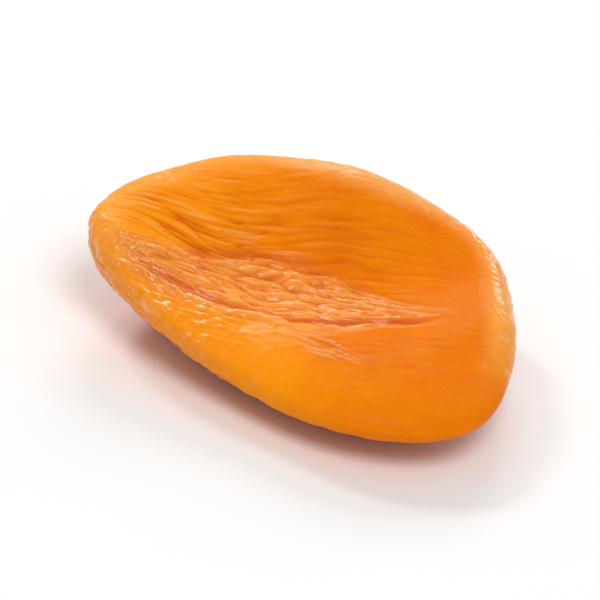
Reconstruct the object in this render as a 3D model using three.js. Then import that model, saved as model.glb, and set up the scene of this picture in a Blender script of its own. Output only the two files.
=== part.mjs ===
// A dried apricot half: one cupped piece of fruit with a rolled lip, lying on a small flat spot.
// Millimetres, +Z up. +X runs from the pointed stem end to the blunt blossom end, +Y to the far, taller side.
// The half is cut side up. A dish lies off centre inside the lip, with a crease along its floor.

import * as THREE from 'three';
import { mergeVertices } from 'three/addons/utils/BufferGeometryUtils.js';

// Plan of the outermost edge
const HALF_LENGTH = 19.4;
const HALF_WIDTH = 17;
const STEM_POINT = 1.4; // how far the stem end is drawn out
const STEM_TAPER = 0.2; // how much the stem end narrows to its point
const BLUNTNESS = 0.36; // how square the blossom end is
const EGG = 0.24; // how much wider the blossom half is than the stem half
const SKEW = 0.25; // slides the far bulge to the stem and the near bulge to the blossom

// Lip, given at the four ends of the plan
const EDGE_HEIGHT = { stem: 9.6, far: 9, blossom: 5.2, near: 4.6 };
const CREST_HEIGHT = { stem: 11.2, far: 11.8, blossom: 8.1, near: 7.2 };
const CREST_DIP = 1.6; // the crest is this much lower between stem and near side
const LIP_WIDTH = { stem: 1.7, far: 2.6, blossom: 3.4, near: 8.5 };
const LIP_SWELL = 6; // the lip is this much wider between blossom and near side

// Dish, belly and the flat spot underneath
const DISH = { x: -3, y: -2.2, floor: 5.9 };
const DISH_FLATNESS = 1; // how much flatter the dish runs towards the blossom end
const SPOT = { x: 0.5, y: 0.6 };
const SPOT_REACH = { stem: 5.5, far: 4.5, blossom: 5.5, near: 4.5 };
const BELLY_ROUNDNESS = 1.9; // exponent of the belly's rounded section

// Crease along the dish
const CREASE = { end: -2, sag: 3.6, middle: -8.5, spread: 11.25, depth: 0.8, width: 1.1 };
const CREASE_RUN = { from: -18, to: 13, fade: 5 };

// Folds: long ones along the dish, a short slanting group on the near roll, waves in the lip, skin furrows
const FOLDS = [
  { height: 0.1, spacing: 2.9, phase: 0.4 },
  { height: 0.07, spacing: 2.1, phase: 2.0 },
];
const FOLD_RUN = { converge: 23, wander: 0.35, whole: 3, gone: 15, least: 0.25 };
const SLANT = { x: 2.4, y: -10.2, angle: -0.64, height: 0.2, spacing: 2, width: 2.6, length: 6 };
const LIP_WAVES = [
  { count: 5, phase: 1.0, height: 0.12 },
  { count: 9, phase: 2.3, height: 0.08 },
];
const FURROW = { depth: 0.45, pitch: 5.2, bend: 1.1 };

// How far from the dish's middle (0) to the flat spot's middle (1) the crest, edge and flat spot begin
const AT_CREST = 0.4;
const AT_EDGE = 0.53;
const AT_SPOT = 0.9;

const DETAIL = 20; // the surface has 20 * (DETAIL + 1) ** 2 triangles
const MERGE_DISTANCE = 1e-4;
const NUDGE = 1e-3; // step for the surface's slopes
const FLESH = { color: 0xef8a12, roughness: 0.45, metalness: 0 };

const { clamp, smoothstep } = THREE.MathUtils;

function around(turn, value) {
  const c = Math.cos(turn);
  const s = Math.sin(turn);
  const end = c > 0 ? value.blossom : value.stem;
  const side = s > 0 ? value.far : value.near;
  return end * c * c + side * s * s;
}

function outline(turn) {
  const c = Math.cos(turn);
  const s = Math.sin(turn);
  const square = BLUNTNESS * Math.max(c, 0) ** 2 * (1 - c * c);
  const tip = Math.max(-c, 0) ** 6;
  const x = HALF_LENGTH * (c + square) - STEM_POINT * tip;
  const y = HALF_WIDTH * s * (1 + (EGG - SKEW * s) * c) * (1 - STEM_TAPER * tip);
  return { x, y };
}

// The cut side: the dish rises to the crest, and the lip rolls over from there to the outermost edge.
function cutSide(turn, way) {
  const rim = outline(turn);
  const near = Math.max(-Math.sin(turn), 0) ** 2;
  const stem = Math.max(-Math.cos(turn), 0) ** 2;
  const edge = around(turn, EDGE_HEIGHT);
  const crest = around(turn, CREST_HEIGHT) - 4 * CREST_DIP * near * stem;
  const lip = around(turn, LIP_WIDTH) + 4 * LIP_SWELL * near * Math.max(Math.cos(turn), 0) ** 2;
  const inner = 1 - lip / Math.hypot(rim.x - DISH.x, rim.y - DISH.y);
  let out;
  let z;
  if (way <= AT_CREST) {
    const rise = (way / AT_CREST) ** (1 + DISH_FLATNESS * Math.max(Math.cos(turn), 0) ** 2);
    out = (way / AT_CREST) * inner;
    z = DISH.floor + (crest - DISH.floor) * rise * rise * (3 - 2 * rise);
  } else {
    const roll = (((way - AT_CREST) / (AT_EDGE - AT_CREST)) * Math.PI) / 2;
    out = inner + (1 - inner) * Math.sin(roll);
    z = edge + (crest - edge) * Math.cos(roll);
  }
  return new THREE.Vector3(DISH.x + out * (rim.x - DISH.x), DISH.y + out * (rim.y - DISH.y), z);
}

// The skin side: a rounded belly from the outermost edge down to the flat spot.
function skinSide(turn, way) {
  const rim = outline(turn);
  const flat = around(turn, SPOT_REACH) / Math.hypot(rim.x - SPOT.x, rim.y - SPOT.y);
  let out;
  let z = 0;
  if (way < AT_SPOT) {
    const fall = (((way - AT_EDGE) / (AT_SPOT - AT_EDGE)) * Math.PI) / 2;
    const power = 2 / BELLY_ROUNDNESS;
    out = flat + (1 - flat) * Math.cos(fall) ** power;
    z = around(turn, EDGE_HEIGHT) * (1 - Math.sin(fall) ** power);
  } else {
    out = (flat * (1 - way)) / (1 - AT_SPOT);
  }
  return new THREE.Vector3(SPOT.x + out * (rim.x - SPOT.x), SPOT.y + out * (rim.y - SPOT.y), z);
}

function body(turn, way) {
  return way <= AT_EDGE ? cutSide(turn, way) : skinSide(turn, way);
}

function outward(turn, way) {
  const ahead = body(turn + NUDGE, way).sub(body(turn - NUDGE, way));
  const down = body(turn, Math.min(way + NUDGE, 1)).sub(body(turn, Math.max(way - NUDGE, 0)));
  return down.cross(ahead).normalize();
}

function creaseLine(x) {
  const off = (x - CREASE.middle) / CREASE.spread;
  return CREASE.end - CREASE.sag * Math.exp(-off * off);
}

function creaseRelief(p) {
  const off = (p.y - creaseLine(p.x)) / CREASE.width;
  const start = smoothstep(p.x, CREASE_RUN.from, CREASE_RUN.from + CREASE_RUN.fade);
  const stop = 1 - smoothstep(p.x, CREASE_RUN.to - CREASE_RUN.fade, CREASE_RUN.to);
  return (-CREASE.depth * start * stop) / (1 + off * off);
}

// Long folds run side by side with the crease and draw together towards both ends of the fruit.
function foldRelief(p) {
  const narrowing = Math.sqrt(Math.max(1 - (p.x / FOLD_RUN.converge) ** 2, 0.05));
  const across = (p.y - creaseLine(p.x)) / narrowing;
  const wander = Math.sin(0.34 * p.x + 0.5) + Math.sin(0.21 * p.x - 0.4 * across + 2);
  const line = across + FOLD_RUN.wander * wander;
  const strength = Math.max(1 - smoothstep(p.x, FOLD_RUN.whole, FOLD_RUN.gone), FOLD_RUN.least);
  const wave = (fold) => fold.height * Math.sin((2 * Math.PI * line) / fold.spacing + fold.phase);
  return strength * FOLDS.reduce((sum, fold) => sum + wave(fold), 0);
}

function slantRelief(p) {
  const c = Math.cos(SLANT.angle);
  const s = Math.sin(SLANT.angle);
  const along = ((p.x - SLANT.x) * c + (p.y - SLANT.y) * s) / SLANT.length;
  const across = (p.y - SLANT.y) * c - (p.x - SLANT.x) * s;
  const patch = Math.exp(-along * along - (across / SLANT.width) ** 2);
  return SLANT.height * Math.cos((2 * Math.PI * across) / SLANT.spacing) * patch;
}

function lipRelief(turn) {
  return LIP_WAVES.reduce((sum, wave) => sum + wave.height * Math.sin(wave.count * turn + wave.phase), 0);
}

// Shrunken skin: bent furrows that cross, cut in between rounded ridges.
function furrowRelief(p) {
  const k = (2 * Math.PI) / FURROW.pitch;
  const a = Math.sin(k * (0.9 * p.x + 0.45 * p.z) + FURROW.bend * Math.sin(0.5 * k * p.y + 1));
  const b = Math.sin(k * (0.8 * p.y - 0.5 * p.z) + FURROW.bend * Math.sin(0.45 * k * p.x + 2));
  const c = Math.sin(0.6 * k * (p.x + p.y) + FURROW.bend * Math.sin(0.7 * k * p.z));
  return -FURROW.depth * Math.max(1 - Math.abs(a + 0.7 * b + 0.5 * c), 0);
}

function relief(p, turn, way) {
  const dish = 1 - smoothstep(way, AT_CREST * 0.8, AT_CREST * 1.1);
  const roll = 1 - smoothstep(way, AT_CREST, AT_EDGE);
  const lip = smoothstep(way, AT_CREST * 0.75, AT_CREST) * (1 - smoothstep(way, AT_EDGE, AT_EDGE * 1.15));
  const skin = smoothstep(way, AT_EDGE * 0.96, AT_EDGE * 1.2) * (1 - smoothstep(way, AT_SPOT * 0.92, AT_SPOT));
  const cut = (creaseRelief(p) + foldRelief(p)) * dish + slantRelief(p) * roll;
  return cut + lipRelief(turn) * lip + furrowRelief(p) * skin;
}

// Each point of a fine ball is sent to its place on the fruit: its turn round the rim, and its way from
// the dish's middle over the lip to the flat spot.
function fruitGeometry() {
  const ball = new THREE.IcosahedronGeometry(1, DETAIL);
  ball.deleteAttribute('normal');
  ball.deleteAttribute('uv');
  const geometry = mergeVertices(ball, MERGE_DISTANCE);
  const place = geometry.attributes.position;
  const from = new THREE.Vector3();
  for (let i = 0; i < place.count; i++) {
    from.fromBufferAttribute(place, i);
    const turn = Math.atan2(from.y, from.x);
    const way = Math.acos(clamp(from.z, -1, 1)) / Math.PI;
    const point = body(turn, way);
    point.addScaledVector(outward(turn, way), relief(point, turn, way));
    place.setXYZ(i, point.x, point.y, way >= AT_SPOT ? 0 : point.z);
  }
  geometry.computeBoundingBox();
  const middle = geometry.boundingBox.getCenter(new THREE.Vector3());
  geometry.translate(-middle.x, -middle.y, 0);
  geometry.computeVertexNormals();
  return geometry;
}

const apricot = new THREE.Mesh(fruitGeometry(), new THREE.MeshStandardMaterial(FLESH));
apricot.name = 'apricot';

const fruit = new THREE.Group();
fruit.add(apricot);

export default fruit;
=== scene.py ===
"""Looks of a dried apricot half, laid out as a Blender add-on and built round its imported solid."""

import math

import bpy
import numpy as np
from bpy.props import FloatProperty, FloatVectorProperty, IntProperty, PointerProperty
from mathutils import Matrix, Vector


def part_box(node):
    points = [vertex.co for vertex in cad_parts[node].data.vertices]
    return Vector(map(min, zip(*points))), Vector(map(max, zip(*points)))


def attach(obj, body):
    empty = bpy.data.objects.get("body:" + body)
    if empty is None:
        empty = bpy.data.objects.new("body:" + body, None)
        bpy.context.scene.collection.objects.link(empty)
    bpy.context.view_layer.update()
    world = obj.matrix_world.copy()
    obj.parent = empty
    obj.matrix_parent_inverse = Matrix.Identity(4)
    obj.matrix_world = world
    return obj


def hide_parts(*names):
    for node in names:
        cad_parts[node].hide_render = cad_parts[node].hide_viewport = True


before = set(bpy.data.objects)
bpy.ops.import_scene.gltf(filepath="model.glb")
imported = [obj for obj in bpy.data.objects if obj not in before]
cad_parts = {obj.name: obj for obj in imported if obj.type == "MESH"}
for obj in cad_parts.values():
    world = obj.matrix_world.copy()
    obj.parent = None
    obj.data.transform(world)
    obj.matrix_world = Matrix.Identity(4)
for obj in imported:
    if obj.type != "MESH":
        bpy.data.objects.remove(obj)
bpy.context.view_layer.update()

bl_info = {
    "name": "Dried apricot half",
    "version": (1, 0, 0),
    "blender": (4, 5, 0),
    "location": "View3D > Sidebar > Apricot",
    "description": "Builds a cupped dried apricot half and a pale stage to look at it on",
    "category": "Object",
}

MM = 0.001

# Ends of the plan, in the order that every four sizes are given in
ENDS = "at the stem, the far side, the blossom end and the near side"

# Share of the way from the dish's middle to the flat spot's middle where each stretch of the surface begins
AT_CREST = 0.46
AT_EDGE = 0.60
AT_SPOT = 0.93
POLE = 1e-4  # no point comes nearer to either middle, where the turn would be lost

HALFWAY = 4  # the product of two neighbouring ends' shares, times this, is 1 half way between them
TIP_SHARPNESS = 6  # how abruptly the plan draws out to the stem's point


def size(name, millimetres, description):
    """A length that the panel shows, given in millimetres."""
    return FloatProperty(
        name=name, description=description, default=millimetres * MM, unit="LENGTH", precision=5
    )


def four_sizes(name, millimetres, description):
    """A length at each of the plan's four ends."""
    return FloatVectorProperty(
        name=name,
        description=f"{description} {ENDS}",
        default=[value * MM for value in millimetres],
        size=4,
        unit="LENGTH",
        precision=5,
    )


def share(name, value, description):
    """A plain number, mostly from 0 to 1."""
    return FloatProperty(name=name, description=description, default=value, subtype="FACTOR")


def colour(name, red, green, blue, description):
    """A linear colour."""
    return FloatVectorProperty(
        name=name,
        description=description,
        default=(red, green, blue),
        size=3,
        subtype="COLOR",
        min=0,
        max=1,
    )


def angle(name, degrees, description):
    """An angle, given in degrees."""
    return FloatProperty(name=name, description=description, default=math.radians(degrees), subtype="ANGLE")


def power(name, watts, description):
    """The power of a light."""
    return FloatProperty(name=name, description=description, default=watts, unit="POWER")


class ApricotForm(bpy.types.PropertyGroup):
    """The fruit's main sizes."""

    half_length: size("Half length", 19.4, "Half the plan's length, before the stem end is drawn out")
    half_width: size("Half width", 17, "Half the plan's width")
    stem_point: size("Stem point", 1.4, "How far the stem end is drawn out")
    stem_taper: share("Stem taper", 0.2, "How much the stem end narrows to its point")
    bluntness: share("Bluntness", 0.36, "How square the blossom end is")
    egg: share("Egg", 0.24, "How much wider the blossom half is than the stem half")
    skew: share("Skew", 0.25, "Slides the far bulge to the stem and the near bulge to the blossom")
    edge_height: four_sizes("Edge height", (9.6, 9, 5.2, 4.6), "Height of the outermost edge")
    crest_height: four_sizes("Crest height", (11.2, 11.8, 8.1, 7.2), "Height of the lip's crest")
    crest_dip: size("Crest dip", 1.6, "How much lower the crest is between stem and near side")
    lip_width: four_sizes("Lip width", (1.7, 2.6, 3.4, 8.5), "Plan width of the lip's roll")
    lip_swell: size("Lip swell", 6, "How much wider the lip is between blossom end and near side")
    dish_x: size("Dish X", -3, "Dish's middle along the fruit")
    dish_y: size("Dish Y", -2.2, "Dish's middle across the fruit")
    dish_floor: size("Dish floor", 5.9, "Height of the dish's middle")
    dish_flatness: share("Dish flatness", 1.0, "How much flatter the dish runs towards the blossom end")
    spot_x: size("Spot X", 0.5, "Flat spot's middle along the fruit")
    spot_y: size("Spot Y", 0.6, "Flat spot's middle across the fruit")
    spot_reach: four_sizes("Spot reach", (5.5, 4.5, 5.5, 4.5), "Reach of the flat spot")
    belly_roundness: FloatProperty(
        name="Belly roundness", description="Exponent of the belly's rounded section", default=1.9
    )


class ApricotFolds(bpy.types.PropertyGroup):
    """Crease, folds, wrinkles and shrunken skin."""

    seed: IntProperty(name="Seed", description="Starts the draw of the wrinkles", default=11)
    crease_depth: size("Crease depth", 0.65, "Depth of the crease along the dish")
    crease_width: size("Crease width", 0.6, "Half width of the crease")
    fold_height: size("Fold height", 0.015, "Height of the long folds in the dish")
    fold_spacing: size("Fold spacing", 2.9, "Spacing of the long folds")
    slant_height: size("Slant height", 0.14, "Height of the slanting folds on the near roll")
    slant_spacing: size("Slant spacing", 0.75, "Spacing of the slanting folds on the near roll")
    wrinkle_height: size("Wrinkle height", 0.4, "Height of the wrinkles on the dish's floor")
    wrinkle_width: size("Wrinkle width", 0.85, "Width of one wrinkle on the dish's floor")
    valley_depth: size("Valley depth", 0.1, "Depth of the valley between wrinkled floor and far wall")
    streak_height: size("Streak height", 0.15, "Height of the soft streaks on the far wall")
    lip_height: size("Lip waves", 0.12, "Height of the long waves in the lip")
    pucker_height: size("Pucker height", 0.26, "Height of the small puckers on the lip")
    furrow_depth: size("Furrow depth", 0.24, "Depth of the main furrows in the skin")
    furrow_pitch: size("Furrow pitch", 5.2, "Spacing of the main furrows in the skin")
    crinkle_height: size("Crinkle height", 0.24, "Height of the skin's crinkles")
    crinkle_width: size("Crinkle width", 1.8, "Width of the skin's crinkles")


class ApricotFinish(bpy.types.PropertyGroup):
    """Colours and gloss of the dried flesh and skin."""

    amber: colour("Amber", 0.98, 0.305, 0.003, "Thin flesh towards the stem")
    deep: colour("Deep orange", 0.82, 0.18, 0.001, "Thick flesh towards the blossom end")
    # Painted sheen: the wrinkled floor's rosy paleness stands in for the light it reflects as it faces up
    rose_sheen: colour("Rose", 1.0, 0.38, 0.062, "Dry wrinkled floor of the dish")
    # Painted shade: laid in the crease, the wrinkle valleys, the grooves and the skin's crinkle valleys,
    # where shade falls; the same colour also tints the small dark specks
    valley: colour("Valley", 0.72, 0.125, 0.004, "Bottoms of the wrinkles and the crease")
    # Partly painted light: the lip's lighter colour also stands in for the glow of the thin lip and the
    # light it catches
    honey: colour("Honey", 0.98, 0.38, 0.05, "Outer edge of the lip")
    # Painted highlight: a pale tint laid on ridge tops, flecks, the strip by the crease and the lighter
    # lip, where light glints
    highlight_tint: colour("Bloom", 0.95, 0.50, 0.20, "Pale dry ridges and flecks")
    skin: colour("Skin", 0.88, 0.23, 0.008, "Skin side")
    blush: colour("Blush", 0.66, 0.11, 0.006, "Red-brown blush on the skin")
    rose_sheen_share: share("Rose share", 0.8, "How much of the rose shows on the wrinkled floor")
    highlight_tint_share: share("Bloom share", 0.7, "How much of the bloom shows on the pale ridges")
    valley_shade_share: share("Valley share", 0.84, "How much of the valley colour shows in the hollows")
    speck_share: share("Speck share", 0.25, "How much of the valley colour shows in the specks")
    patch_spacing: size("Patch spacing", 9, "Spacing of the broad patches of colour")
    cloud_spacing: size("Cloud spacing", 2.5, "Spacing of the soft clouds in the flesh")
    speck_spacing: size("Speck spacing", 0.9, "Spacing of the small dark specks")
    grain_spacing: size("Grain spacing", 0.5, "Spacing of the finest grain")
    grain_depth: size("Grain depth", 0.2, "Depth of the finest grain")
    roughness: share("Roughness", 0.42, "Roughness of the flesh")
    gloss: share("Gloss", 0.24, "Roughness of the sticky, glossy places")
    coat_roughness: share("Coat roughness", 0.15, "Roughness of the sugary film on the glossy places")
    glow: share("Glow", 0.25, "How much light passes through the flesh")
    glow_depth: size("Glow depth", 1.0, "How far light passes through the flesh")


class ApricotStage(bpy.types.PropertyGroup):
    """Floor, lights and camera."""

    floor: colour("Floor", 0.93, 0.93, 0.925, "Pale floor")
    floor_shade: colour("Floor shade", 0.8, 0.8, 0.8, "Colour of the floor's faint mottling")
    floor_reach: size("Floor reach", 3000, "Half the floor's side")
    azimuth: angle("Azimuth", -5.1, "Camera's turn round the fruit, from the near side")
    elevation: angle("Elevation", 30.4, "Camera's height above the floor")
    roll: angle("Roll", -12.7, "How far the picture is turned about the camera's own axis")
    lens: FloatProperty(name="Lens", description="Focal length", default=300.0, unit="CAMERA")
    fill: share("Fill", 0.74, "Share of the picture's width that the fruit takes")
    sky: FloatProperty(name="Sky", description="Strength of the even light from all round", default=0.45)
    key: power("Key", 1.7, "Power of the broad light high above the near side")
    back: power("Back", 1.3, "Power of the broad light behind")
    glint: power("Glint", 0.9, "Power of the small light behind, towards the stem")
    rim: power("Rim", 0.3, "Power of the small low light behind, towards the blossom end")


# Form


def millimetres(value):
    """Lengths in metres, as the panel keeps them, in millimetres."""
    return np.asarray(value, float) / MM


def ease(low, high, value):
    """Smooth step from 0 at low to 1 at high."""
    part = np.clip((value - low) / (high - low), 0, 1)
    return part * part * (3 - 2 * part)


def stretch(value, start, whole, fade, end):
    """1 from whole to fade, with soft ends that reach 0 at start and at end."""
    return ease(start, whole, value) * (1 - ease(fade, end, value))


def hump(value, middle, spread):
    """A smooth hump: 1 at the middle, fading over the spread to both sides."""
    return np.exp(-(((value - middle) / spread) ** 2))


def around(turn, four):
    """Blends a size given at the plan's four ends."""
    stem, far, blossom, near = millimetres(four)
    cos, sin = np.cos(turn), np.sin(turn)
    return np.where(cos > 0, blossom, stem) * cos * cos + np.where(sin > 0, far, near) * sin * sin


def outline(turn, form):
    """Plan of the outermost edge."""
    cos, sin = np.cos(turn), np.sin(turn)
    square = form.bluntness * np.maximum(cos, 0) ** 2 * (1 - cos * cos)
    tip = np.maximum(-cos, 0) ** TIP_SHARPNESS
    x = millimetres(form.half_length) * (cos + square) - millimetres(form.stem_point) * tip
    half_width = millimetres(form.half_width) * (1 - form.stem_taper * tip)
    y = half_width * sin * (1 + (form.egg - form.skew * sin) * cos)
    return x, y


def cut_side(turn, way, form):
    """The dish rises to the crest, and the lip rolls over from there to the outermost edge."""
    rim_x, rim_y = outline(turn, form)
    near = np.maximum(-np.sin(turn), 0) ** 2
    stem = np.maximum(-np.cos(turn), 0) ** 2
    blossom = np.maximum(np.cos(turn), 0) ** 2
    dish_x, dish_y, floor = millimetres((form.dish_x, form.dish_y, form.dish_floor))
    edge = around(turn, form.edge_height)
    crest = around(turn, form.crest_height) - HALFWAY * millimetres(form.crest_dip) * near * stem
    lip = around(turn, form.lip_width) + HALFWAY * millimetres(form.lip_swell) * near * blossom
    inner = 1 - lip / np.hypot(rim_x - dish_x, rim_y - dish_y)
    rise = np.clip(way / AT_CREST, 0, 1) ** (1 + form.dish_flatness * blossom)
    roll = np.clip((way - AT_CREST) / (AT_EDGE - AT_CREST), 0, 1) * math.pi / 2
    dished = way <= AT_CREST
    out = np.where(dished, way / AT_CREST * inner, inner + (1 - inner) * np.sin(roll))
    z = np.where(
        dished,
        floor + (crest - floor) * rise * rise * (3 - 2 * rise),
        edge + (crest - edge) * np.cos(roll),
    )
    return np.stack([dish_x + out * (rim_x - dish_x), dish_y + out * (rim_y - dish_y), z], axis=-1)


def skin_side(turn, way, form):
    """A rounded belly from the outermost edge down to the flat spot."""
    rim_x, rim_y = outline(turn, form)
    spot_x, spot_y = millimetres((form.spot_x, form.spot_y))
    flat = around(turn, form.spot_reach) / np.hypot(rim_x - spot_x, rim_y - spot_y)
    fall = np.clip((way - AT_EDGE) / (AT_SPOT - AT_EDGE), 0, 1) * math.pi / 2
    exponent = 2 / form.belly_roundness
    resting = way >= AT_SPOT
    belly = flat + (1 - flat) * np.maximum(np.cos(fall), 0) ** exponent
    out = np.where(resting, flat * (1 - way) / (1 - AT_SPOT), belly)
    z = np.where(resting, 0, around(turn, form.edge_height) * (1 - np.sin(fall) ** exponent))
    return np.stack([spot_x + out * (rim_x - spot_x), spot_y + out * (rim_y - spot_y), z], axis=-1)


def body(turn, way, form):
    """The smooth body: points in millimetres."""
    return np.where((way <= AT_EDGE)[:, None], cut_side(turn, way, form), skin_side(turn, way, form))


def outward(turn, way, form, nudge=1e-3):
    """Directions square to the smooth body."""
    ahead = body(turn + nudge, way, form) - body(turn - nudge, way, form)
    down = body(turn, np.minimum(way + nudge, 1), form) - body(turn, np.maximum(way - nudge, POLE), form)
    square = np.cross(down, ahead)
    return square / np.linalg.norm(square, axis=1, keepdims=True)


# Relief, all in millimetres


class Grain:
    """Smooth seeded noise, about -1 to 1. Each coordinate comes in widths of the noise's patches."""

    TABLE = 256
    GAIN = 1.6

    def __init__(self, seed):
        draw = np.random.default_rng(seed)
        self.order = draw.permutation(self.TABLE)
        slopes = draw.normal(size=(self.TABLE, 3))
        self.slopes = slopes / np.linalg.norm(slopes, axis=1, keepdims=True)

    def __call__(self, *coordinates):
        point = np.stack(np.broadcast_arrays(*coordinates), axis=-1)
        cell = np.floor(point).astype(int)
        part = point - cell
        eased = part ** 3 * (part * (part * 6 - 15) + 10)
        total = 0
        for corner in np.ndindex(2, 2, 2):
            at = (cell + corner) % self.TABLE
            pick = self.order[at[..., 0]]
            pick = self.order[(pick + at[..., 1]) % self.TABLE]
            pick = self.order[(pick + at[..., 2]) % self.TABLE]
            weight = np.prod(np.where(corner, eased, 1 - eased), axis=-1)
            total = total + weight * np.sum(self.slopes[pick] * (part - corner), axis=-1)
        return self.GAIN * total


# Masks that the mesh carries for the finish; the pale mask is painted highlight and the hollow mask painted
# shade
MASKS = ("deep", "band", "rim", "hollow", "glossy", "pale", "outer", "hide")

DRAWS = 6  # draws of noise; a fixed last coordinate picks one slice of a draw

# Where along the fruit each form starts, is whole, fades and ends
BAND_RUN = (-20, -16, 9, 14)
SPLAY_RUN = (-5, 0, 1, 7)
CREASE_RUN = (-18, -13, 8, 14)
STRIP_RUN = (-1, 3, 4, 7.5)
UPPER_VALLEY_RUN = (-16, -8, 6, 14)
PAINTED_LIGHT_FAR_RUN = (1, 6, 7, 12)

# Places round the rim, in radians from the blossom end by way of the far side
# The pale places round the rim carry painted highlights, where the lip catches the light
PALE_FAR = 1.3  # middle of the palest lip
PALE_BLUNT = 0.2  # middle of the broad pale lip at the blossom end
GLOSSY_FAR = 0.7  # middle of the glossy lip on the far side
GLOSSY_NEAR = 3.8  # middle of the glossy puckers between the stem and the near side


def crease_line(x):
    """Where the crease runs across the dish's floor."""
    end, sag, middle, spread = -2.0, 3.6, -8.5, 11.25
    return end - sag * hump(x, middle, spread)


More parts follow.
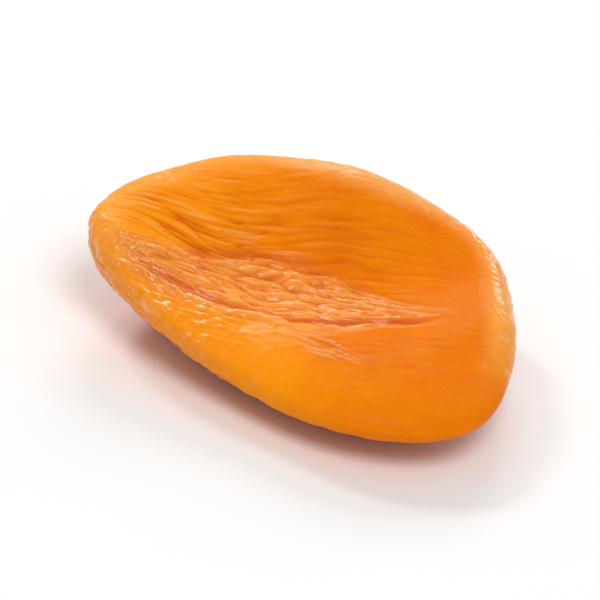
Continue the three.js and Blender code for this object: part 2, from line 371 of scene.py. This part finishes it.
class Relief:
    """Heights above the smooth body, with the masks that the finish reads."""

    def __init__(self, point, to_rim, turn, way, folds):
        self.x, self.y, self.z = point.T
        self.off = self.y - crease_line(self.x)
        self.turn, self.way, self.folds = turn, way, folds
        self.grain = [Grain(folds.seed + count) for count in range(DRAWS)]
        near = np.maximum(-np.sin(turn), 0)
        self.stretches(near)
        self.rim_masks(near, to_rim)
        self.fold_lines()

    def stretches(self, near):
        """How far each point belongs to the dish, the roll inside the edge, the lip and the skin.

        Each mask's ends are shares of the crest's, the edge's or the spot's own place.
        """
        clear_of_spot = 1 - ease(AT_SPOT * 0.93, AT_SPOT, self.way)
        self.dish = 1 - ease(AT_CREST * 0.8, AT_CREST * 1.1, self.way)
        self.roll = 1 - ease(AT_CREST, AT_EDGE, self.way)
        self.lip = stretch(self.way, AT_CREST * 0.75, AT_CREST, AT_EDGE, AT_EDGE * 1.15)
        self.skin = ease(AT_EDGE * 1.02, AT_EDGE * 1.35, self.way) * clear_of_spot
        self.outer = ease(AT_EDGE * (0.96 + 0.16 * near), AT_EDGE * (1.16 + 0.2 * near), self.way)
        fleshy = ease(0.1, 0.65, near)
        top = AT_CREST * 1.06 * (1 - fleshy) + AT_EDGE * 1.08 * fleshy
        bottom = AT_EDGE * (1.06 + 0.24 * fleshy)
        self.hide = ease(top, bottom, self.way) * clear_of_spot

    def rim_masks(self, near, to_rim):
        """The honey rim inside the edge, a lighter lip that partly carries painted glow and highlight:
        widest on the far side, gone on the near side.
        """
        far = hump(self.turn, PALE_FAR, 0.45)
        blunt = hump(self.turn, PALE_BLUNT, 0.6)
        inside = ease(1.2 + 0.7 * blunt, 4.2 + 1.8 * far, to_rim)
        self.rim = (1 - inside) * (1 - self.outer) * (1 - ease(0.1, 0.6, near))
        # Painted highlight along the far lip and the blunt end
        self.pale = (0.8 * far + 0.1 * blunt) * self.rim

    def fold_lines(self):
        """Lines side by side with the crease. The wrinkled band along it is widest towards the stem."""
        widest, stem_reach, blossom_reach = -4.2, 8.6, 11.2
        narrow, swell, taper, splayed = 0.22, 0.9, 2.6, 1.8
        stray = 0.4 * self.grain[0](self.x / 5, self.y / 3, 0.5)
        stray = stray + 0.1 * self.grain[3](self.x / 2, self.y / 1.6, 0.2)
        reach = np.where(self.x < widest, stem_reach, blossom_reach)
        spindle = narrow + swell * np.exp(-(np.abs((self.x - widest) / reach) ** taper))
        splay = 1 + splayed * stretch(self.x, *SPLAY_RUN)
        across = self.off / np.where(self.off < 0, splay, 1)
        self.line = across / spindle + stray
        band = ease(-2.6, -0.4, across + stray) * (1 - ease(5, 8.5, self.line)) * self.roll
        self.band = band * stretch(self.x, *BAND_RUN) * (1 - 0.4 * ease(4, 9, self.x))
        converge, least_fan, least_folds = 23, 0.05, 0.25
        fanned = self.off / np.sqrt(np.maximum(1 - (self.x / converge) ** 2, least_fan))
        bend = np.sin(0.34 * self.x + 0.5) + np.sin(0.21 * self.x - 0.4 * fanned + 2)
        self.wide_line = fanned + 0.1 * bend + 0.7 * stray
        self.stemward = np.maximum(1 - ease(3, 15, self.x), least_folds)

    def crease(self):
        """A rounded groove with a fine slit along its bottom, darkened with painted shade, and a strip of
        painted highlight along its near side.
        """
        slit_width, dark_width, strip_off, strip_width = 0.32, 0.5, -0.8, 2
        depth, width = millimetres((self.folds.crease_depth, self.folds.crease_width))
        off = self.off + 0.3 * self.grain[1](self.x / 2.5, 0.4, 0.8)
        run = stretch(self.x, *CREASE_RUN) * (0.6 + 0.4 * ease(-10, -2, self.x)) * self.roll
        # Painted shade along the crease's bottom
        self.slit = 1.4 * hump(off, 0, dark_width) * run
        strip = hump(off, strip_off, strip_width) * stretch(self.x, *STRIP_RUN) * self.roll
        patchy = ease(-0.5, 0.3, self.grain[4](self.x / 2.4, off / 0.9, 0.6))
        # Painted highlight: the pale strip beside the crease
        self.pale = self.pale + 0.8 * strip * patchy
        return -depth * (0.6 * np.exp(-np.abs(off) / width) + 0.5 * hump(off, 0, slit_width)) * run

    def long_folds(self):
        """Long low folds along the dish, in two spacings."""
        height, spacing = millimetres((self.folds.fold_height, self.folds.fold_spacing))
        waves = np.sin(2 * math.pi * self.wide_line / spacing + 0.4)
        waves = waves + 0.7 * np.sin(2 * math.pi * self.wide_line / (0.72 * spacing) + 2)
        return height * waves * self.stemward * self.dish

    def slanting_folds(self):
        """A short group of fine ridges across the near roll, with grooves between them."""
        x, y, lean, length, breadth = 2.2, -10.5, -0.36, 2.5, 1.5
        slide = 0.5  # each ridge lies this much further along than the one above it
        ridge_share, groove_share = 0.24, 0.2  # half widths, in spacings
        height, spacing = millimetres((self.folds.slant_height, self.folds.slant_spacing))
        along = (self.x - x) * math.cos(lean) + (self.y - y) * math.sin(lean)
        across = (self.y - y) * math.cos(lean) - (self.x - x) * math.sin(lean)
        across = across + 0.5 * self.grain[1](self.x / 3, self.y / 3, 0.2)
        row = across / spacing
        nearest = np.round(row)
        count = np.clip(nearest, -2, 1)
        broken = ease(-0.5, 0.2, self.grain[5](along / 2, 3.7 * count, 0.5))
        ridge = hump(row, count, ridge_share) * hump(along, -slide * count, length) * broken * self.roll
        patch = hump(along, 0, length) * hump(across, 0, breadth) * self.roll
        # Painted shade in the grooves between the ridges
        self.grooves = hump(np.abs(row - nearest), 0.5, groove_share) * patch
        # Painted highlight on the ridges' tops
        self.pale = self.pale + ridge
        return height * (2 * ridge - 0.8 * self.grooves)

    def wrinkles(self):
        """Short lengthwise wrinkles on the dish's floor, rounded, with sharp valleys between them."""
        height, width = millimetres((self.folds.wrinkle_height, self.folds.wrinkle_width))
        length, fine_length, fine_width = 5 * width, 2.6 * width, 0.5 * width
        broad = np.abs(self.grain[1](self.x / length, self.line / width, 0.55))
        fine = np.abs(self.grain[2](self.x / fine_length, self.line / fine_width, 0.6))
        whole = 0.45 + 0.35 * ease(-2, 4, self.x)
        broken = ease(-0.3, 0.4, self.grain[3](self.x / 2.5, self.line / 1.3, 0.7))
        broad_valley = (whole + (1 - whole) * broken) * (1 - ease(0, 0.2, broad))
        # Painted shade in the wrinkles' valleys
        self.valleys = np.maximum(broad_valley, 0.7 - ease(0, 0.14, fine)) * self.band
        # Painted highlight on the broad wrinkles' tops
        self.pale = self.pale + 0.35 * ease(0.4, 0.85, broad) * self.band
        clear_of_crease = 1 - hump(self.off, 0, 0.5)
        return height * (1.5 * broad + 0.75 * fine - 0.6) * self.band * clear_of_crease

    def upper_valley(self):
        """Shallow valley where the wrinkled band meets the far wall."""
        line, width = 7.2, 0.8
        run = stretch(self.x, *UPPER_VALLEY_RUN)
        # Painted shade in the valley above the band
        self.above_band = hump(self.line, line, width) * run * self.dish
        return -millimetres(self.folds.valley_depth) * self.above_band

    def streaks(self):
        """Soft long streaks on the far wall and the near roll, with thin dark lines towards the stem."""
        wall = ease(3, 7, self.wide_line) * (1 - 0.6 * ease(9, 15, self.wide_line))
        wall = wall * self.dish * self.stemward
        near = 0.5 * (1 - ease(-3, 0, self.wide_line)) * self.roll
        stem = (1 - ease(-8, 4, self.x)) * wall
        soft = 0.5 * self.grain[3](self.x / 8, self.wide_line / 0.9, 0.9)
        soft = soft + 0.9 * self.grain[4](self.x / 4.5, self.wide_line / 0.45, 0.1)
        thin = np.abs(self.grain[2](self.x / 7, self.wide_line / 0.8, 0.3))
        thin = (1 - ease(0, 0.16, thin)) * stem
        # Painted highlight on the soft streaks' tops towards the stem
        self.pale = self.pale + 0.5 * ease(0.15, 0.6, soft) * stem
        # Painted shade in the soft streaks' low parts and the thin lines
        self.streaked = np.maximum(-soft, 0) * wall + 0.5 * thin
        return millimetres(self.folds.streak_height) * (soft * (wall + near) - 0.8 * thin)

    def lip_waves(self):
        """Long waves round the lip."""
        waves = np.sin(5 * self.turn + 1) + 0.7 * np.sin(9 * self.turn + 2.3)
        return millimetres(self.folds.lip_height) * waves * self.lip

    def puckers(self):
        """Small crinkles on the lip, deepest where it has dried glossy next to the stem."""
        round_rim = self.turn % (2 * math.pi)
        near_stem = hump(round_rim, GLOSSY_NEAR, 0.6) * ease(AT_CREST * 0.9, AT_CREST * 1.05, self.way)
        near_stem = near_stem * (1 - self.outer)
        far_side = hump(round_rim, GLOSSY_FAR, 0.7) * self.rim
        broad = np.abs(self.grain[4](self.x / 1.7, self.off / 0.9, self.z / 1.5))
        fine = np.abs(self.grain[5](self.x / 0.9, self.off / 0.5, self.z / 0.9))
        knobs = ease(0.15, 0.5, broad)
        self.glossy = near_stem * (0.4 + 0.6 * knobs) + 0.7 * far_side * (1 - self.outer)
        # Painted highlight: pale glints on the glossy puckers next to the stem
        self.pale = self.pale + 0.35 * near_stem * ease(0.4, 0.8, broad)
        knobbly = 0.2 * self.rim + near_stem + 0.15 * far_side
        return millimetres(self.folds.pucker_height) * (1.4 * broad + 0.8 * fine - 0.7) * knobbly

    def furrows(self):
        """Bent furrows that cross, cut in between rounded ridges of skin."""
        depth, pitch = millimetres((self.folds.furrow_depth, self.folds.furrow_pitch))
        bend, rate = 1.1, 2 * math.pi / pitch
        x, y, z = rate * self.x, rate * self.y, rate * self.z
        first = np.sin(0.9 * x + 0.45 * z + bend * np.sin(0.5 * y + 1))
        second = np.sin(0.8 * y - 0.5 * z + bend * np.sin(0.45 * x + 2))
        third = np.sin(0.6 * (x + y) + bend * np.sin(0.7 * z))
        return -depth * np.maximum(1 - np.abs(first + 0.7 * second + 0.5 * third), 0) * self.skin

    def crinkles(self):
        """Shrunken skin outside: small knobs with sharp valleys between them, painted highlights on their
        tops and painted shade in the valleys.
        """
        height, width = millimetres((self.folds.crinkle_height, self.folds.crinkle_width))
        warp, warp_width, squash, finer, flat_top = 0.6, 2.4, 1.3, 2.3, 1.1
        place = (self.x / warp_width, self.y / warp_width, self.z / warp_width)
        bent = [
            axis / width + warp * self.grain[count](*place)
            for count, axis in enumerate((self.x, self.y, squash * self.z))
        ]
        broad = np.abs(self.grain[3](*bent))
        fine = np.abs(self.grain[5](*(finer * axis for axis in bent)))
        knobs = 1.3 * broad + 0.6 * fine
        # Painted highlight on the crinkles' tops
        self.pale = self.pale + ease(0.6, flat_top, knobs) * np.maximum(0.7 * self.hide, self.rim)
        # Painted shade in the valleys between the crinkles
        self.crinkled = (1 - ease(0.1, 0.5, knobs)) * self.hide
        return height * (np.minimum(knobs, flat_top) - 0.7) * np.maximum(self.hide, 0.3 * self.rim)

    def depth_of_colour(self):
        """How deep the orange is: more towards the blossom end, with painted shade deepening the far wall
        and the near inner slope and painted light on the near roll, the near edge and the far end.
        """
        far_wall = 0.15 * ease(0, 8, self.y) * (1 - ease(4, 12, self.x)) * self.dish
        inner_slope = 0.35 * hump(self.x, 5, 4.5) * hump(self.y, -7.5, 4)
        near_roll = 0.4 * ease(4, 10, -self.y) * (1 - ease(-5, 4, self.x))
        near_edge = 0.2 * ease(11, 16, -self.y)
        far_end = 0.4 * ease(1, 7, self.y) * stretch(self.x, *PAINTED_LIGHT_FAR_RUN)
        # Painted shade on the far wall and the near inner slope; painted light on the near roll, the near
        # edge and the far end
        deeper = far_wall + inner_slope
        lighter = near_roll + near_edge + far_end
        return np.clip(ease(-16, 12, self.x) + deeper - lighter, 0, 1)

    def heights(self):
        """Adds up every form, and finishes the masks that need them all."""
        furrows = self.furrows()
        main = self.crease() + self.long_folds() + self.slanting_folds() + self.lip_waves() + furrows
        fine = self.wrinkles() + self.upper_valley() + self.streaks() + self.puckers() + self.crinkles()
        lines = self.slit + self.valleys + 0.35 * self.above_band + 1.1 * self.streaked + 0.7 * self.grooves
        # Painted shade, darkest where the relief sinks: crease, wrinkle valleys, grooves, streaks, crinkle
        # valleys and furrows
        self.hollow = np.clip(lines + 0.6 * self.crinkled - 2 * furrows, 0, 1)
        # Painted highlights, taken away where the painted shade lies
        self.pale = np.clip(self.pale, 0, 1) * (1 - self.hollow)
        self.deep = self.depth_of_colour()
        return main + fine


# Mesh

STEPS = 128  # squares along each side of the cube that the mesh starts from
MERGE_DIGITS = 7  # points of the cube's sides that agree to this many digits are one


def ball(steps):
    """A cube's six sides, each steps by steps squares, blown up to a ball: points and four-sided faces."""
    line = np.tan(np.linspace(-1, 1, steps + 1) * math.pi / 4)
    u, v = (grid.ravel() for grid in np.meshgrid(line, line, indexing="ij"))
    one = np.ones_like(u)
    sides = [(u, v, one), (v, u, -one), (one, u, v), (-one, v, u), (v, one, u), (u, -one, v)]
    points = np.concatenate([np.stack(side, axis=-1) for side in sides])
    points = points / np.linalg.norm(points, axis=1, keepdims=True)
    row = np.arange(steps)
    corner = (row[:, None] * (steps + 1) + row).ravel()
    square = np.stack([corner, corner + steps + 1, corner + steps + 2, corner + 1], axis=-1)
    faces = np.concatenate([square + side * (steps + 1) ** 2 for side in range(len(sides))])
    merged = np.round(points, MERGE_DIGITS)
    _, first, back = np.unique(merged, axis=0, return_index=True, return_inverse=True)
    return points[first], back.ravel()[faces]


def two_discs(turn, way, faces):
    """Map of the surface for its textures: the cut side as one disc, the skin side as another."""
    radius, low, high, margin = 0.285, 0.293, 0.707, 0.02
    upper = (way[faces].mean(axis=1) < AT_EDGE)[:, None]
    reach = np.where(upper, way[faces] / (AT_EDGE + margin), (1 - way[faces]) / (1 - AT_EDGE + margin))
    middle = np.where(upper, low, high)
    return np.stack([middle + radius * reach * wave(turn[faces]) for wave in (np.cos, np.sin)], axis=-1)


def fruit_mesh(name, form, folds):
    """The fruit as one closed mesh in metres, with its masks as attributes."""
    points, faces = ball(STEPS)
    turn = np.arctan2(points[:, 1], points[:, 0])
    way = np.clip(np.arccos(np.clip(points[:, 2], -1, 1)) / math.pi, POLE, 1 - POLE)
    smooth = body(turn, way, form)
    square = outward(turn, way, form)
    rim_x, rim_y = outline(turn, form)
    to_rim = np.hypot(smooth[:, 0] - rim_x, smooth[:, 1] - rim_y)
    relief = Relief(smooth, to_rim, turn, way, folds)
    place = smooth + square * relief.heights()[:, None]
    place[:, 2] = np.where(way >= AT_SPOT, 0, np.maximum(place[:, 2], 0))
    low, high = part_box("apricot")
    middle = (place.min(axis=0) + place.max(axis=0)) / 2
    place = place * MM
    place[:, 0] += (low.x + high.x) / 2 - middle[0] * MM
    place[:, 1] += (low.y + high.y) / 2 - middle[1] * MM
    mesh = bpy.data.meshes.new(name)
    mesh.from_pydata(place.tolist(), [], faces.tolist())
    mesh.polygons.foreach_set("use_smooth", np.ones(len(faces), bool))
    mesh.uv_layers.new(name="OFBake").data.foreach_set("uv", two_discs(turn, way, faces).ravel())
    for mask in MASKS:
        values = getattr(relief, mask).astype(np.float32)
        mesh.attributes.new(mask, "FLOAT", "POINT").data.foreach_set("value", values)
    mesh.update()
    return mesh


# Finish

FINE_DETAIL = 4.0  # octaves of the finest noise
GLOW_REACH = (1.0, 0.4, 0.1)  # how far red, green and blue light pass, as shares of the glow's depth


class Value:
    """A shader socket that Python's operators work on. Each operator adds a Math node."""

    def __init__(self, tree, socket=None):
        self.tree = tree
        self.socket = socket

    def node(self, kind, settings=None, sockets=None, output=0):
        """Adds any node: its settings first, then the values or links of its sockets."""
        made = self.tree.nodes.new(kind)
        for name, value in (settings or {}).items():
            setattr(made, name, value)
        for name, value in (sockets or {}).items():
            if isinstance(value, Value):
                self.tree.links.new(value.socket, made.inputs[name])
            else:
                made.inputs[name].default_value = value
        return Value(self.tree, made.outputs[output]) if made.outputs else made

    def maths(self, operation, first, second):
        """A Math node on two values."""
        return self.node("ShaderNodeMath", {"operation": operation}, {0: first, 1: second})

    def __add__(self, other):
        return self.maths("ADD", self, other)

    def __radd__(self, other):
        return self.maths("ADD", other, self)

    def __sub__(self, other):
        return self.maths("SUBTRACT", self, other)

    def __rsub__(self, other):
        return self.maths("SUBTRACT", other, self)

    def __mul__(self, other):
        return self.maths("MULTIPLY", self, other)

    def __rmul__(self, other):
        return self.maths("MULTIPLY", other, self)

    def clamp(self):
        """Held between 0 and 1."""
        return self.node("ShaderNodeClamp", None, {"Value": self})

    def mask(self, name):
        """One of the mesh's own masks."""
        return self.node("ShaderNodeAttribute", {"attribute_name": name}, None, "Fac")

    def mottle(self, spacing, detail=3.0):
        """Even noise over the fruit, from 0 to 1, with patches about one spacing apart."""
        place = self.node("ShaderNodeTexCoord", None, None, "Object")
        sockets = {"Vector": place, "Scale": 1 / spacing, "Detail": detail, "Roughness": 0.55}
        return self.node("ShaderNodeTexNoise", None, sockets, "Fac")

    def mix(self, factor, first, second):
        """A colour between two colours."""
        settings = {"data_type": "RGBA", "clamp_factor": True}
        return self.node("ShaderNodeMix", settings, {0: factor, 6: first, 7: second}, 2)


def opaque(shade):
    """A colour with its alpha."""
    return (*shade, 1.0)


def dried_flesh(finish):
    """Amber flesh with painted shade in its valleys, a rosy floor that carries a painted sheen, a honey lip
    that partly carries painted glow and highlight, painted highlights on pale ridges, and redder skin
    outside.
    """
    material = bpy.data.materials.new("dried_apricot_flesh")
    material.use_nodes = True
    tree = material.node_tree
    tree.nodes.clear()
    start = Value(tree)
    deep, band, rim, hollow, glossy, pale, outer, hide = (start.mask(name) for name in MASKS)
    patches = start.mottle(finish.patch_spacing)
    clouds = start.mottle(finish.cloud_spacing)
    specks = start.mottle(finish.speck_spacing, FINE_DETAIL)
    # The deep mask carries painted shade and painted light as well as the deeper orange towards the blossom
    # end
    ripe = deep * 0.9 + patches * 0.4 + clouds * 0.6 - 0.5
    flesh = start.mix(ripe, opaque(finish.amber), opaque(finish.deep))
    # Painted sheen on the wrinkled floor
    flesh = start.mix(band * finish.rose_sheen_share, flesh, opaque(finish.rose_sheen))
    # Honey lip, partly painted glow and highlight
    flesh = start.mix(rim * (0.5 + 0.6 * patches), flesh, opaque(finish.honey))
    skin = start.mix((patches * 2.2 - 0.75).clamp(), opaque(finish.skin), opaque(finish.blush))
    shade = start.mix(outer, flesh, skin)
    # Painted highlight on ridges, flecks and the lighter lip
    shade = start.mix(pale * (finish.highlight_tint_share - 0.3 * outer), shade, opaque(finish.highlight_tint))
    # Painted shade in the hollows
    shade = start.mix(hollow * finish.valley_shade_share, shade, opaque(finish.valley))
    shade = start.mix((specks * 1.6 - 0.7).clamp() * finish.speck_share, shade, opaque(finish.valley))
    dull = finish.roughness - (finish.roughness - finish.gloss) * (glossy + hide * 0.7).clamp()
    grain_height = start.mottle(finish.grain_spacing, FINE_DETAIL)
    grain = start.node(
        "ShaderNodeBump", None, {"Strength": 0.6, "Distance": finish.grain_depth, "Height": grain_height}
    )
    film = 0.02 + glossy * 0.8 + band * 0.55 + pale * 0.3 + hide * 0.55
    shader = start.node(
        "ShaderNodeBsdfPrincipled",
        {"subsurface_method": "RANDOM_WALK"},
        {
            "Base Color": shade,
            "Roughness": dull + (specks - 0.5) * 0.2,
            "Normal": grain,
            "IOR": 1.45,
            "Specular IOR Level": 0.02,
            "Subsurface Weight": finish.glow,
            "Subsurface Radius": GLOW_REACH,
            "Subsurface Scale": finish.glow_depth,
            "Coat Weight": film.clamp(),
            "Coat Roughness": finish.coat_roughness,
        },
    )
    start.node("ShaderNodeOutputMaterial", None, {"Surface": shader})
    return material


def pale_floor(stage):
    """Matt floor, near white, with the faintest mottling."""
    material = bpy.data.materials.new("pale_floor")
    material.use_nodes = True
    tree = material.node_tree
    tree.nodes.clear()
    start = Value(tree)
    spacing, strength = 0.4, 0.05
    shade = start.mix(start.mottle(spacing) * strength, opaque(stage.floor), opaque(stage.floor_shade))
    shader = start.node(
        "ShaderNodeBsdfPrincipled", None, {"Base Color": shade, "Roughness": 0.9, "Specular IOR Level": 0.1}
    )
    start.node("ShaderNodeOutputMaterial", None, {"Surface": shader})
    return material


# Operators


class APRICOT_OT_fruit(bpy.types.Operator):
    """Builds the dried apricot half over its solid"""

    bl_idname = "apricot.fruit"
    bl_label = "Dried apricot half"

    def execute(self, context):
        scene = context.scene
        mesh = fruit_mesh("apricot_flesh", scene.apricot_form, scene.apricot_folds)
        mesh.materials.append(dried_flesh(scene.apricot_finish))
        piece = bpy.data.objects.new("apricot_flesh", mesh)
        scene.collection.objects.link(piece)
        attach(piece, "root")
        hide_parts("apricot")
        return {"FINISHED"}


# Where each light stands, in metres, and how wide it is
LIGHTS = {
    "key": ((0.06, -0.34, 0.54), 0.30),
    "back": ((-0.02, 0.58, 0.40), 0.30),
    "glint": ((-0.36, 0.34, 0.46), 0.14),
    "rim": ((0.32, 0.58, 0.21), 0.14),
}


class APRICOT_OT_stage(bpy.types.Operator):
    """Lays the pale floor and sets the lights and the camera"""

    bl_idname = "apricot.stage"
    bl_label = "Stage"

    def execute(self, context):
        stage = context.scene.apricot_stage
        self.floor(context.scene, stage)
        self.sky(context.scene, stage)
        for name, (place, width) in LIGHTS.items():
            self.light(context.scene, f"{name}_light", place, width, getattr(stage, name))
        self.camera(context.scene, stage)
        context.scene.view_settings.view_transform = "Standard"
        return {"FINISHED"}

    def floor(self, scene, stage):
        """A wide square, a hair below the fruit."""
        reach, height = stage.floor_reach, -0.02 * MM
        sides = [(-1, -1), (1, -1), (1, 1), (-1, 1)]
        corners = [(reach * along, reach * across, height) for along, across in sides]
        mesh = bpy.data.meshes.new("floor")
        mesh.from_pydata(corners, [], [(0, 1, 2, 3)])
        mesh.materials.append(pale_floor(stage))
        floor = bpy.data.objects.new("floor", mesh)
        scene.collection.objects.link(floor)

    def sky(self, scene, stage):
        """Even white light from all round."""
        world = bpy.data.worlds.new("even_sky")
        world.use_nodes = True
        background = world.node_tree.nodes["Background"]
        background.inputs["Color"].default_value = (1, 1, 1, 1)
        background.inputs["Strength"].default_value = stage.sky
        scene.world = world

    def light(self, scene, name, place, width, power):
        """A round soft light that faces the fruit."""
        lamp = bpy.data.lights.new(name, "AREA")
        lamp.shape = "DISK"
        lamp.size = width
        lamp.energy = power
        light = bpy.data.objects.new(name, lamp)
        light.location = place
        light.rotation_euler = (-Vector(place)).to_track_quat("-Z", "Y").to_euler()
        scene.collection.objects.link(light)

    def camera(self, scene, stage):
        """Looks at the fruit from the photograph's side, height and tilt."""
        low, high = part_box("apricot")
        azimuth, level = stage.azimuth, math.cos(stage.elevation)
        right = Vector((math.cos(azimuth), math.sin(azimuth), 0))
        back = Vector((level * math.sin(azimuth), -level * math.cos(azimuth), math.sin(stage.elevation)))
        up = back.cross(right)
        side = right * math.cos(stage.roll) - up * math.sin(stage.roll)
        top = right * math.sin(stage.roll) + up * math.cos(stage.roll)
        lens = bpy.data.cameras.new("camera")
        lens.lens = stage.lens
        lens.sensor_width = 36
        distance = (high.x - low.x) / stage.fill * lens.lens / lens.sensor_width
        camera = bpy.data.objects.new("camera", lens)
        place = (low + high) / 2 + back * distance
        camera.matrix_world = Matrix.Translation(place) @ Matrix((side, top, back)).transposed().to_4x4()
        lens.clip_start, lens.clip_end = 0.01, 20
        scene.collection.objects.link(camera)
        scene.camera = camera


class APRICOT_PT_panel(bpy.types.Panel):
    """Sizes, colours and the buttons that build"""

    bl_label = "Dried apricot half"
    bl_idname = "APRICOT_PT_panel"
    bl_space_type = "VIEW_3D"
    bl_region_type = "UI"
    bl_category = "Apricot"

    def draw(self, context):
        for operator, groups in {
            APRICOT_OT_fruit: ("apricot_form", "apricot_folds", "apricot_finish"),
            APRICOT_OT_stage: ("apricot_stage",),
        }.items():
            for group in groups:
                column = self.layout.column(align=True)
                values = getattr(context.scene, group)
                for name in values.__annotations__:
                    column.prop(values, name)
            self.layout.operator(operator.bl_idname)


GROUPS = {
    "apricot_form": ApricotForm,
    "apricot_folds": ApricotFolds,
    "apricot_finish": ApricotFinish,
    "apricot_stage": ApricotStage,
}
CLASSES = (*GROUPS.values(), APRICOT_OT_fruit, APRICOT_OT_stage, APRICOT_PT_panel)


def register():
    for made in CLASSES:
        bpy.utils.register_class(made)
    for name, group in GROUPS.items():
        setattr(bpy.types.Scene, name, PointerProperty(type=group))


def unregister():
    for name in GROUPS:
        delattr(bpy.types.Scene, name)
    for made in reversed(CLASSES):
        bpy.utils.unregister_class(made)


def main():
    """Builds the stage and the fruit."""
    register()
    bpy.ops.apricot.stage()
    bpy.ops.apricot.fruit()
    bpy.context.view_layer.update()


if __name__ == "__main__":
    main()
